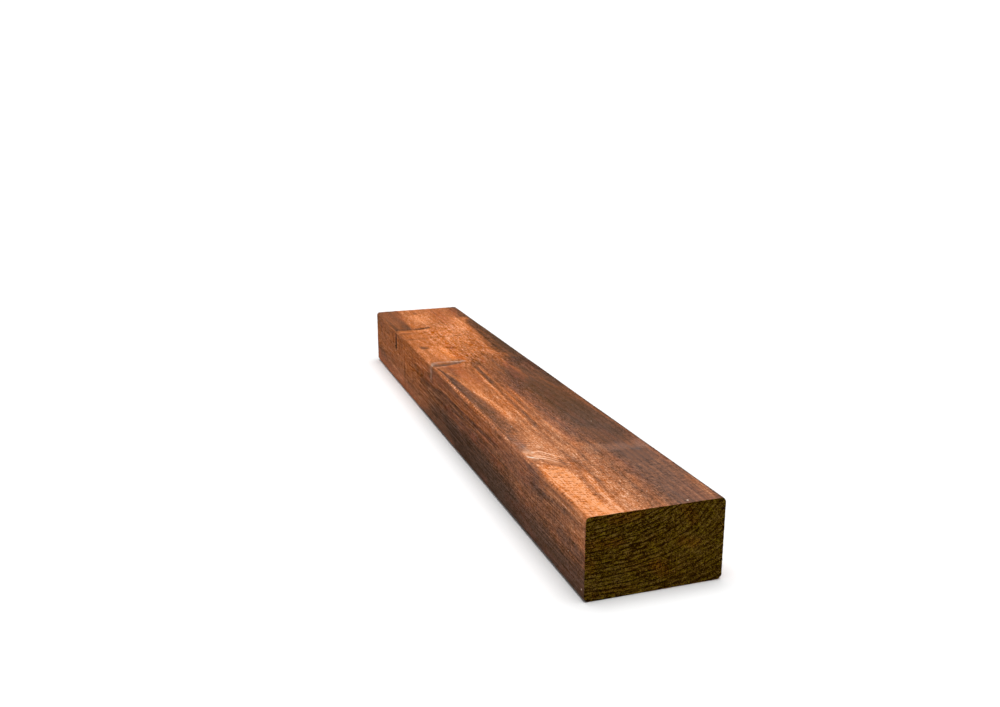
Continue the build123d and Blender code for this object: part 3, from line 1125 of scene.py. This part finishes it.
class Nodes:
    """A material's nodes. Each call adds a node, feeds its inputs and hands back its output."""

    def __init__(self, name):
        self.material = bpy.data.materials.new(name)
        self.material.use_nodes = True
        self.tree = self.material.node_tree
        self.shader = self.tree.nodes["Principled BSDF"]
        self.shader.inputs["Specular IOR Level"].default_value = NO_SHEEN

    def feed(self, socket, value):
        """Links a socket, or sets its value."""
        if isinstance(value, bpy.types.NodeSocket):
            self.tree.links.new(value, socket)
        else:
            socket.default_value = value

    def add(self, kind, inputs, output=0, **settings):
        """A node of the given kind with its settings and inputs."""
        node = self.tree.nodes.new(kind)
        for setting, value in settings.items():
            setattr(node, setting, value)
        for key, value in inputs.items():
            self.feed(node.inputs[key], value)
        return node.outputs[output]

    def value(self, name):
        """A number kept on the mesh's points."""
        return self.add("ShaderNodeAttribute", {}, "Fac", attribute_name=name)

    def place(self, name):
        """A vector kept on the mesh's points."""
        return self.add("ShaderNodeAttribute", {}, "Vector", attribute_name=name)

    def math(self, operation, first, second=0.0, third=0.0):
        """One sum."""
        return self.add("ShaderNodeMath", {0: first, 1: second, 2: third}, operation=operation)

    def multiplied(self, vector, factors):
        """A vector or a colour with each part multiplied."""
        return self.add("ShaderNodeVectorMath", {0: vector, 1: factors}, operation="MULTIPLY")

    def millimetres(self):
        """The place in the timber's frame, in millimetres."""
        return self.multiplied(self.add("ShaderNodeTexCoord", {}, "Object"), (1 / MM, 1 / MM, 1 / MM))

    def noise(self, vector, repeats, detail, roughness):
        """Smooth noise round 0, about -0.3 to 0.3, with so many repeats for each step of the vector."""
        inputs = {"Vector": self.multiplied(vector, repeats), "Scale": 1.0, "Detail": detail,
                  "Roughness": roughness}
        return self.math("SUBTRACT", self.add("ShaderNodeTexNoise", inputs, "Fac"), 0.5)

    def rise(self, value, low, high):
        """0 below low, 1 above high, and a smooth rise between them."""
        inputs = {"Value": value, "From Min": low, "From Max": high}
        return self.add("ShaderNodeMapRange", inputs, interpolation_type="SMOOTHSTEP")

    def total(self, *terms):
        """The sum of (value, weight) pairs."""
        result = 0.0
        for value, weight in terms:
            result = self.math("MULTIPLY_ADD", value, weight, result)
        return result

    def product(self, first, *others):
        """All the values multiplied."""
        for other in others:
            first = self.math("MULTIPLY", first, other)
        return first

    def away(self, value, middle):
        """How far a value is from a middle."""
        return self.math("ABSOLUTE", self.math("SUBTRACT", value, middle))

    def repeated(self, value, pitch, faint, whole):
        """Marks at each pitch: 0 this faint share of it from a mark's middle, and 1 this whole share."""
        repeats = self.math("FRACT", self.math("DIVIDE", value, pitch))
        return self.rise(self.away(repeats, 0.5), faint, whole)

    def centred(self, share, contrast):
        """A share from 0 to 1 as a value round 0."""
        return self.math("MULTIPLY_ADD", share, contrast, -contrast / 2)

    def mixed(self, share, first, second):
        """A mix of two colours."""
        return self.add("ShaderNodeMix", {0: share, 6: first, 7: second}, 2, data_type="RGBA")

    def graded(self, value, colours, places):
        """A colour ramp."""
        node = self.tree.nodes.new("ShaderNodeValToRGB")
        self.feed(node.inputs[0], value)
        stops = node.color_ramp.elements
        while len(stops) < len(colours):
            stops.new(0.5)
        for stop, place, shade in zip(stops, places, colours):
            stop.position = place
            stop.color = solid(shade)
        return node.outputs[0]

    def finish(self, shade, roughness, height, distance, strength):
        """Feeds the shader."""
        bump = self.add("ShaderNodeBump", {"Strength": strength, "Distance": distance, "Height": height})
        self.feed(self.shader.inputs["Base Color"], shade)
        self.feed(self.shader.inputs["Roughness"], roughness)
        self.feed(self.shader.inputs["Normal"], bump)
        return self.material


def solid(shade):
    """A colour with full opacity."""
    return (*shade, 1.0)


def late_wood_nodes(nodes, rings):
    """The late wood's share at a place, as late_wood gives it for the mesh."""
    part = nodes.math("FRACT", rings)
    return nodes.product(nodes.rise(part, LATE_STARTS, LATE_WHOLE), nodes.rise(part, 1.0, LATE_ENDS))


def speck_place(along, around):
    """The place in the timber's frame, in millimetres, of a point on the top or on the front."""
    low, high = Vector(LOWEST) / MM, Vector(HIGHEST) / MM
    if around >= 0:
        return low.x + along, low.y + around, high.z
    return low.x + along, low.y, high.z + around


# Noises that follow the grain: repeats a millimetre along it and across it, detail and roughness
FIBRES = ((0.16, 2.4, 2.4), 3.0, 0.6)
STREAKS = ((0.022, 0.55, 0.55), 3.0, 0.6)
SPECKLE = ((0.75, 1.25, 1.25), 3.0, 0.75)
MOTTLE = ((0.10, 0.32, 0.32), 3.0, 0.6)
FLECKS = ((0.22, 2.6, 2.6), 1.0, 0.5)
HUE = ((0.22, 0.55, 0.55), 3.0, 0.7)
THIN_LINES = ((0.030, 1.15, 1.15), 2.0, 0.6)
# Noises in the timber's frame, in the same form
WEAVE = ((0.62, 0.26, 0.26), 2.0, 0.6)
GATE = ((0.30, 0.34, 0.34), 1.0, 0.5)
# Between which values of their noises red patches, bruises and flecks rise from none to all
NOISE_RANGE = (-0.25, 0.25)
BRUISE_RANGE = (-0.45, 0.25)
FLECK_RANGE = (-0.17, -0.26)
# Repeated marks: their pitch, and how far from a mark's middle it is faint and whole, in pitches
DASHES = (3.0, 0.34, 0.10)
TICKS = (3.6, 0.36, 0.14)
STRANDS = (1.0, 0.12, 0.42)
RIPPLES = (2.5, 0.44, 0.08)
# Between which values of the gate's noise they come and go
DASH_GATE = (0.05, -0.07)
TICK_GATE = (0.16, -0.10)
# How far dashes, ticks and ripples slant
DASH_SLANT = -0.34
TICK_SLANT = 0.3
RIPPLE_SLANT = -0.20
# How strongly strands and ripples show
STRAND_CONTRAST = 0.40
RIPPLE_CONTRAST = 0.22
# The tones of the six colours of the stain
TONE_STOPS = (0.0, 0.25, 0.47, 0.68, 0.86, 1.0)
# The most of the red tint and of the grey bruise that the wood takes
RED_MOST = 0.40
GREY_MOST = 0.55
# How much further the tint and the painted sheen move blue than green
TINT_AND_SHEEN_BLUE = 2.6
# Where rubbed fibres and the painted highlight at the fan's tip are whole, and where they start
PALE_WHOLE = 1.05
PALE_STARTS = 0.10
# Where a white speck ends and where it is whole, in its radius
SPECK_EDGE = 1.3
SPECK_CORE = 0.7
# How far streaks shift the growth rings
RING_STREAKS = 0.35
# How rough the plain wood is
LONG_ROUGHNESS = 0.78
# The depth and the strength of the finest relief
LONG_BUMP = (0.0005, 0.55)


def long_grain_material(colours):
    """Planed and stained long faces."""
    nodes = Nodes("treated_long_grain")
    grain = nodes.place("grain")
    fibres = nodes.noise(grain, *FIBRES)
    streaks = nodes.noise(grain, *STREAKS)
    speckle = nodes.noise(grain, *SPECKLE)
    mottle = nodes.noise(grain, *MOTTLE)
    rings = nodes.math("MULTIPLY_ADD", streaks, RING_STREAKS, nodes.value("rings"))
    late = late_wood_nodes(nodes, rings)

    position = nodes.millimetres()
    apart = nodes.tree.nodes.new("ShaderNodeSeparateXYZ")
    nodes.feed(apart.inputs[0], position)
    x, y, _ = apart.outputs
    weave = nodes.noise(position, *WEAVE)
    gate = nodes.noise(position, *GATE)
    dash = nodes.repeated(nodes.total((x, 1.0), (y, DASH_SLANT), (weave, 2.2)), *DASHES)
    dash = nodes.product(dash, nodes.rise(gate, *DASH_GATE), nodes.value("dashes"))
    # Bright ticks: a painted highlight along the top front edge
    tick = nodes.total((x, 1.0), (y, TICK_SLANT), (weave, 3.0), (speckle, 1.6))
    tick = nodes.product(nodes.repeated(tick, *TICKS), nodes.value("ticks"), nodes.rise(gate, *TICK_GATE))
    woven = nodes.product(weave, nodes.value("weave"))
    strand = nodes.total((nodes.value("strand"), 1.0), (streaks, 0.5), (speckle, 0.4))
    strand = nodes.centred(nodes.repeated(strand, *STRANDS), STRAND_CONTRAST)
    strand = nodes.product(strand, nodes.value("fan"))
    ripple = nodes.total((y, 1.0), (x, RIPPLE_SLANT), (weave, 4.0), (speckle, 1.0))
    ripple = nodes.centred(nodes.repeated(ripple, *RIPPLES), RIPPLE_CONTRAST)
    ripple = nodes.product(ripple, nodes.value("ripples"))
    lines = nodes.product(nodes.noise(grain, *THIN_LINES), nodes.value("lines"))
    fleck = nodes.rise(nodes.noise(grain, *FLECKS), *FLECK_RANGE)

    texture = nodes.total((fibres, 0.80), (streaks, 0.22), (speckle, 1.15), (mottle, 0.20), (woven, 0.35),
                          (lines, 0.75))
    texture = nodes.product(texture, nodes.value("texture"))
    tone = nodes.total((nodes.value("tone"), 1.0), (texture, 1.0), (late, -0.06), (dash, -0.22),
                       (tick, 0.30), (strand, 1.0), (ripple, 1.0), (fleck, -0.05))
    shades = [colours.deepest, colours.dark, colours.brown, colours.orange, colours.bright, colours.light]
    shade = nodes.graded(tone, shades, TONE_STOPS)
    tinted = nodes.product(nodes.value("red"), nodes.rise(mottle, *NOISE_RANGE), RED_MOST)
    shade = nodes.mixed(tinted, shade, solid(colours.red))
    bruised = nodes.product(nodes.value("grey"), nodes.rise(speckle, *BRUISE_RANGE), GREY_MOST)
    shade = nodes.mixed(bruised, shade, solid(colours.grey))
    varied = nodes.product(nodes.noise(grain, *HUE), nodes.value("texture"))
    # The texture's light flecks turn greyer: a painted sheen of fine glints
    tint_and_sheen = nodes.total((nodes.value("tint_and_sheen"), 1.0), (varied, 0.60), (texture, 0.95), (1.0, 1.0))
    blue = nodes.math("MULTIPLY_ADD", tint_and_sheen, TINT_AND_SHEEN_BLUE, 1 - TINT_AND_SHEEN_BLUE)
    shade = nodes.multiplied(shade, nodes.add("ShaderNodeCombineXYZ", {0: 1.0, 1: tint_and_sheen, 2: blue}))

    pale = nodes.value("pale")
    ragged = nodes.total((pale, 1.0), (fibres, 0.7), (speckle, 0.4))
    # The pale mix holds rubbed fibres, white specks and the painted highlight at the fan's tip
    rubbed = nodes.product(nodes.rise(ragged, 0.0, PALE_WHOLE), nodes.rise(pale, 0.0, PALE_STARTS))
    for speck_along, speck_around, radius in SPECKS:
        inputs = {0: position, 1: speck_place(speck_along, speck_around)}
        away = nodes.add("ShaderNodeVectorMath", inputs, "Value", operation="DISTANCE")
        speck = nodes.rise(away, radius * SPECK_EDGE, radius * SPECK_CORE)
        rubbed = nodes.math("MAXIMUM", rubbed, speck)
    shade = nodes.mixed(rubbed, shade, solid(colours.pale))

    height = nodes.total((fibres, 0.6), (streaks, 0.4), (speckle, 0.6), (woven, 0.4), (fleck, -0.25),
                         (dash, -0.30), (tick, 0.25), (late, 0.15), (strand, 0.4))
    roughness = nodes.total((late, -0.06), (streaks, 0.25), (fibres, 0.2), (1.0, LONG_ROUGHNESS))
    return nodes.finish(shade, roughness, height, *LONG_BUMP)


# Noises in the timber's frame: repeats a millimetre along, across and up, detail and roughness
GRIT = ((0.1, 0.62, 0.80), 3.0, 0.65)
FINE_GRIT = ((0.1, 1.5, 2.2), 3.0, 0.8)
TINT = ((0.1, 1.1, 1.8), 3.0, 0.8)
# Noises along the growth rings: repeats a ring and a millimetre along it, and where in the noise they lie
TORN = ((3.4, 0.18, 1.0), 0.0)
BREAKS = ((0.7, 0.07, 1.0), 20.0)
RING_HUE = ((1.2, 0.14, 1.0), 40.0)
# Their detail and roughness
RING_NOISE = (3.0, 0.65)
# Dark gaps and low ridges: their place in each ring, and how far from it they are faint and whole
GAP_PLACE = 0.8
GAP_FADE = (0.19, 0.05)
RIDGE_PLACE = 0.4
RIDGE_FADE = (0.34, 0.05)
# Between which values of its noise a gap breaks off
BREAK_RANGE = (-0.22, 0.06)
# Fibre tips are a painted highlight, lighter where they catch the light
# Fibre tips: repeats a millimetre, how far from a tip's middle it is faint and whole, and its grit
TIP_CELLS = (0.0, 0.45, 0.6)
TIP_FADE = (0.34, 0.08)
TIP_GRIT = (-0.06, 0.06)
# The tones of the four colours of the end grain
END_STOPS = (0.0, 0.26, 0.5, 1.0)
# What the end grain's red, green and blue are multiplied by: the change at the whole red tint, and the rest
REDDISH = ((0.16, 0.99), (-0.38, 1.01), (-0.70, 1.0))
# How far the grit shifts the growth rings
RING_GRIT = 0.25
# The plain end grain: its tone, its share of brown and how rough it is
END_PLAIN_TONE = 0.48
END_PLAIN_BROWN = 0.50
END_ROUGHNESS = 0.85
# The depth and the strength of the finest relief
END_BUMP = (0.0010, 0.8)


def ring_noise(nodes, repeats, start):
    """Noise whose patches lie along the growth rings."""
    inputs = {0: nodes.value("rings"), 1: nodes.value("ring_place"), 2: start}
    return nodes.noise(nodes.add("ShaderNodeCombineXYZ", inputs), repeats, *RING_NOISE)


def end_grain_material(colours):
    """Rough sawn saw cuts that soaked up the stain."""
    nodes = Nodes("treated_end_grain")
    position = nodes.millimetres()
    grit = nodes.noise(position, *GRIT)
    fine = nodes.noise(position, *FINE_GRIT)
    tint = nodes.noise(position, *TINT)
    clear = nodes.value("end_rings")
    torn = nodes.product(ring_noise(nodes, *TORN), clear)
    part = nodes.math("FRACT", nodes.math("MULTIPLY_ADD", grit, RING_GRIT, nodes.value("rings")))
    gap = nodes.rise(nodes.away(part, GAP_PLACE), *GAP_FADE)
    gap = nodes.product(gap, nodes.rise(ring_noise(nodes, *BREAKS), *BREAK_RANGE), clear)
    ridge = nodes.rise(nodes.away(part, RIDGE_PLACE), *RIDGE_FADE)
    inputs = {"Vector": nodes.multiplied(position, TIP_CELLS), "Scale": 1.0}
    cell = nodes.add("ShaderNodeTexVoronoi", inputs, "Distance")
    # Fibre tips: a painted highlight
    tip = nodes.product(nodes.rise(cell, *TIP_FADE), nodes.rise(fine, *TIP_GRIT))
    tone = nodes.total((grit, 0.6), (fine, 4.1), (torn, 2.3), (gap, -0.40), (ridge, 0.07), (tip, 1.25),
                       (nodes.value("end_tone"), 1.0), (1.0, END_PLAIN_TONE))

    shades = [colours.end_deepest, colours.end_dark, colours.end_middle, colours.end_light]
    shade = nodes.graded(tone, shades, END_STOPS)
    brownish = nodes.total((ring_noise(nodes, *RING_HUE), 2.6), (tint, 6.0), (1.0, END_PLAIN_BROWN))
    tinge = nodes.mixed(nodes.rise(brownish, 0.0, 1.0), solid(colours.end_olive), solid(colours.end_brown))
    shade = nodes.multiplied(shade, tinge)
    reddish = nodes.product(nodes.value("end_red"), nodes.rise(tint, *NOISE_RANGE))
    factors = [nodes.math("MULTIPLY_ADD", reddish, *factor) for factor in REDDISH]
    shade = nodes.multiplied(shade, nodes.add("ShaderNodeCombineXYZ", dict(enumerate(factors))))
    roughness = nodes.total((grit, 0.2), (1.0, END_ROUGHNESS))
    return nodes.finish(shade, roughness, tone, *END_BUMP)


# Operators

class BATTEN_OT_timber(bpy.types.Operator):
    """Make the timber's surface as one closed mesh with its relief and its two finishes"""
    bl_idname = "batten.timber"
    bl_label = "Timber"

    def execute(self, context):
        sizes = context.scene.timber_sizes
        section = Section(sizes)
        points, outward, places = timber_points(sizes, section)
        rows = sizes.steps_along + 1
        count = len(section.loop)
        half = sizes.length / MM / 2
        caps = [cap_points(section, -half), cap_points(section, half)]
        every = np.vstack([points, *caps])
        rings = ring_count(every, sizes)
        grain = grain_places(places, section)
        values = long_values(places, grain, section.girth)

        depth = long_depth(sizes, places, grain, rings[:len(points)])
        moved = every.copy()
        moved[:len(points)] -= outward * depth[:, None]
        near_end = np.isclose(every[:, 0], half)
        far_end = np.isclose(every[:, 0], -half)
        torn = end_depth(sizes, every, rings)
        moved[near_end, 0] -= torn[near_end]
        moved[far_end, 0] += torn[far_end]

        far_start = len(points)
        near_start = far_start + len(caps[0])
        quads = [long_faces(rows, count),
                 cap_faces(section, 0, far_start, True),
                 cap_faces(section, (rows - 1) * count, near_start, False)]
        mesh = bpy.data.meshes.new("timber")
        mesh.from_pydata((moved * MM).tolist(), [], np.vstack(quads).tolist())
        mesh.update()
        long_count = len(quads[0])

        extra = len(every) - len(points)
        kept = {name: np.append(value, np.full(extra, value.mean())) for name, value in values.items()}
        kept["rings"] = rings
        kept["ring_place"] = ring_place(sizes, every)
        kept.update(end_values(every))
        for name, value in kept.items():
            layer = mesh.attributes.new(name, "FLOAT", "POINT")
            layer.data.foreach_set("value", value.astype(np.float32))
        bent = np.vstack([grain, every[len(points):]]).astype(np.float32)
        layer = mesh.attributes.new("grain", "FLOAT_VECTOR", "POINT")
        layer.data.foreach_set("vector", bent.ravel())

        colours = context.scene.timber_colours
        mesh.materials.append(long_grain_material(colours))
        mesh.materials.append(end_grain_material(colours))
        finish = np.ones(len(mesh.polygons), dtype=np.int32)
        finish[:long_count] = 0
        mesh.polygons.foreach_set("material_index", finish)
        bake_layout(mesh, section, rows, long_count)
        mesh.shade_smooth()
        sharpen_rims(mesh, [0, (rows - 1) * count], count)

        timber = bpy.data.objects.new("timber", mesh)
        context.collection.objects.link(timber)
        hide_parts("batten")
        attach(timber, "root")
        return {"FINISHED"}


def sharpen_rims(mesh, starts, count):
    """Keeps the saw cuts' edges crisp."""
    ends = np.empty(2 * len(mesh.edges), dtype=int)
    mesh.edges.foreach_get("vertices", ends)
    ends = ends.reshape(-1, 2)
    sharp = np.zeros(len(ends), dtype=bool)
    for start in starts:
        sharp |= ((ends >= start) & (ends < start + count)).all(axis=1)
    mesh.attributes.new("sharp_edge", "BOOLEAN", "EDGE").data.foreach_set("value", sharp)


# The floor: how far it lies under the timber, and how dull it is
FLOOR_GAP = 0.0002
FLOOR_ROUGHNESS = 0.9
# The soft light: how wide its rays spread, and where it stands
LAMP_SPREAD = math.radians(40)
LAMP_PLACE = (0, 0, 2)
# The surroundings are white, bright below the first height and dim above the second, on a unit sphere
WHITE = (1, 1, 1, 1)
SKY_FADE = (0.10, 0.16)
# The camera, from the photograph's perspective: its place, its direction and what it can see
CAMERA_PLACE = (0.615235, -0.210009, 0.233856)
CAMERA_YAW = math.radians(18.870)
CAMERA_PITCH = math.radians(14.893)
SENSOR_WIDTH = 36.0
NEAREST_SEEN = 0.01
FARTHEST_SEEN = 200.0


class BATTEN_OT_stage(bpy.types.Operator):
    """Make the plain pale floor, the soft light and the camera"""
    bl_idname = "batten.stage"
    bl_label = "Stage"

    def execute(self, context):
        settings = context.scene.stage_settings
        self.lay_floor(context, settings)
        self.light(context, settings)
        self.surround(context, settings)
        self.aim(context, settings)
        return {"FINISHED"}

    def lay_floor(self, context, settings):
        """The floor, just under the timber."""
        half = settings.floor_size / 2
        corners = [(-half, -half, 0), (half, -half, 0), (half, half, 0), (-half, half, 0)]
        mesh = bpy.data.meshes.new("floor")
        mesh.from_pydata(corners, [], [(0, 1, 2, 3)])
        nodes = Nodes("pale_floor")
        nodes.shader.inputs["Base Color"].default_value = solid(settings.floor_colour)
        nodes.shader.inputs["Roughness"].default_value = FLOOR_ROUGHNESS
        mesh.materials.append(nodes.material)
        floor = bpy.data.objects.new("floor", mesh)
        floor.location.z = LOWEST[2] - FLOOR_GAP
        context.collection.objects.link(floor)

    def light(self, context, settings):
        """A large soft light straight above."""
        lamp = bpy.data.lights.new("overhead", "SUN")
        lamp.energy = settings.overhead
        lamp.angle = LAMP_SPREAD
        overhead = bpy.data.objects.new("overhead", lamp)
        overhead.location = LAMP_PLACE
        context.collection.objects.link(overhead)

    def surround(self, context, settings):
        """Pale surroundings: bright near the horizon and dim overhead."""
        world = bpy.data.worlds.new("surroundings")
        world.use_nodes = True
        tree = world.node_tree
        background = tree.nodes["Background"]
        background.inputs["Color"].default_value = WHITE
        coordinate = tree.nodes.new("ShaderNodeTexCoord")
        apart = tree.nodes.new("ShaderNodeSeparateXYZ")
        fall = tree.nodes.new("ShaderNodeMapRange")
        fall.interpolation_type = "SMOOTHSTEP"
        ends = {"From Min": SKY_FADE[0], "From Max": SKY_FADE[1], "To Min": settings.horizon,
                "To Max": settings.ceiling}
        for name, value in ends.items():
            fall.inputs[name].default_value = value
        tree.links.new(coordinate.outputs["Generated"], apart.inputs[0])
        tree.links.new(apart.outputs["Z"], fall.inputs["Value"])
        tree.links.new(fall.outputs[0], background.inputs["Strength"])
        context.scene.world = world

    def aim(self, context, settings):
        """The camera, at the photograph's viewing angle."""
        lens = bpy.data.cameras.new("camera")
        lens.lens = settings.lens
        lens.sensor_width = SENSOR_WIDTH
        lens.clip_start = NEAREST_SEEN
        lens.clip_end = FARTHEST_SEEN
        camera = bpy.data.objects.new("camera", lens)
        level = math.cos(CAMERA_PITCH)
        ahead = Vector((-math.cos(CAMERA_YAW) * level, math.sin(CAMERA_YAW) * level,
                        -math.sin(CAMERA_PITCH)))
        camera.location = CAMERA_PLACE
        camera.rotation_euler = ahead.to_track_quat("-Z", "Y").to_euler()
        context.collection.objects.link(camera)
        context.scene.camera = camera
        context.scene.view_settings.view_transform = "Standard"


class BATTEN_PT_panel(bpy.types.Panel):
    """Sizes, colours and the buttons that make the timber and its stage"""
    bl_idname = "BATTEN_PT_panel"
    bl_label = "Batten"
    bl_space_type = "VIEW_3D"
    bl_region_type = "UI"
    bl_category = "Batten"

    def draw(self, context):
        layout = self.layout
        groups = {"Timber": context.scene.timber_sizes, "Colours": context.scene.timber_colours,
                  "Stage": context.scene.stage_settings}
        for title, group in groups.items():
            column = layout.column()
            column.label(text=title)
            for name in group.__annotations__:
                column.prop(group, name)
        layout.operator(BATTEN_OT_timber.bl_idname)
        layout.operator(BATTEN_OT_stage.bl_idname)


CLASSES = [TimberSizes, TimberColours, StageSettings, BATTEN_OT_timber, BATTEN_OT_stage, BATTEN_PT_panel]
SETTINGS = {"timber_sizes": TimberSizes, "timber_colours": TimberColours,
            "stage_settings": StageSettings}


def register():
    for each in CLASSES:
        bpy.utils.register_class(each)
    for name, group in SETTINGS.items():
        setattr(bpy.types.Scene, name, PointerProperty(type=group))


def unregister():
    for name in SETTINGS:
        delattr(bpy.types.Scene, name)
    for each in reversed(CLASSES):
        bpy.utils.unregister_class(each)


def main():
    """Makes everything in order."""
    register()
    bpy.ops.batten.timber()
    bpy.ops.batten.stage()


if __name__ == "__main__":
    main()
